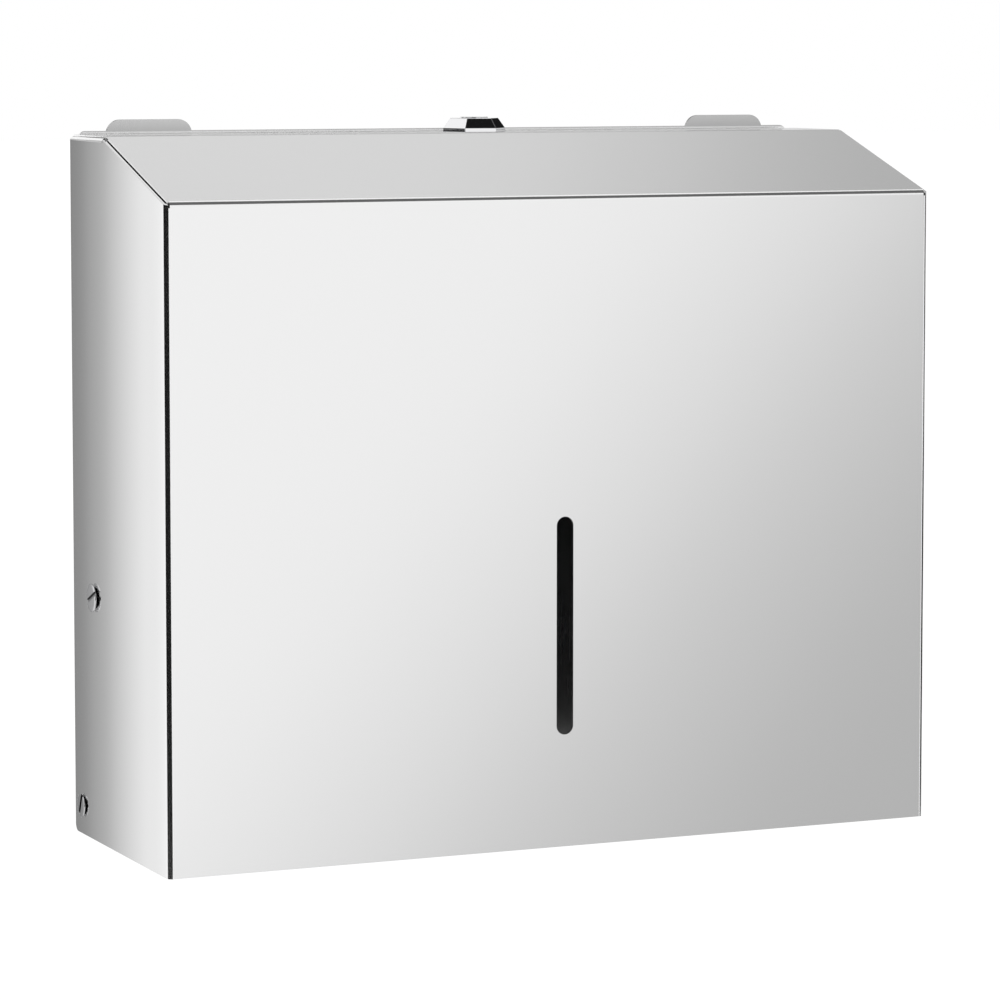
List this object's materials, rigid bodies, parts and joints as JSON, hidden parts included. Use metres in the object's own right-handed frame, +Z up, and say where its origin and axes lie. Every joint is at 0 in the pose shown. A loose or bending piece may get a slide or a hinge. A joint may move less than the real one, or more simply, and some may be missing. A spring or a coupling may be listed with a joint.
{
  "type": "paper towel dispenser",
  "caption": "Wall-hung folded paper towel dispenser of bent polished sheet, with a hinged front cover, a sight slot, a key lock on top and a mouth below.",
  "frame": {"origin": "centre of the four wall holes, on the wall face of the back plate", "axes": "+X across the front to the right, +Y into the wall, +Z up; the front panel faces -Y"},
  "size_m": [0.2774, 0.0982, 0.2402],
  "materials": {
    "polished_steel": "bright polished stainless sheet",
    "satin_steel": "satin stainless sheet",
    "fastener_steel": "bright turned steel",
    "lock_chrome": "chrome plate",
    "white_nylon": "moulded nylon"
  },
  "bodies": {
    "chassis": {"wall_chassis": "satin_steel", "towel_tray": "satin_steel", "lock_strike": "satin_steel", "left_pivot_screw": "fastener_steel", "left_pivot_washer": "white_nylon", "left_pivot_nut": "fastener_steel", "right_pivot_screw": "fastener_steel", "right_pivot_washer": "white_nylon", "right_pivot_nut": "fastener_steel"},
    "cover": {"front_cover": "polished_steel", "lock_barrel": "lock_chrome", "lock_washer": "fastener_steel", "lock_nut": "fastener_steel", "left_stop_screw": "fastener_steel", "left_stop_bush": "white_nylon", "left_stop_washer": "fastener_steel", "left_stop_nut": "fastener_steel", "right_stop_screw": "fastener_steel", "right_stop_bush": "white_nylon", "right_stop_washer": "fastener_steel", "right_stop_nut": "fastener_steel"},
    "lock_core": {"lock_plug": "lock_chrome", "lock_cam": "fastener_steel", "cam_screw": "fastener_steel"}
  },
  "joints": [
    {"name": "cover_hinge", "type": "hinge", "parent": "chassis", "child": "cover", "pos_m": [0, -0.0119, -0.1103], "axis": [1, 0, 0], "range_deg": [0, 50]},
    {"name": "lock_turn", "type": "hinge", "parent": "cover", "child": "lock_core", "pos_m": [0.0024, -0.0209, 0.115], "axis": [0, 0, 1], "range_deg": [0, 90]}
  ]
}
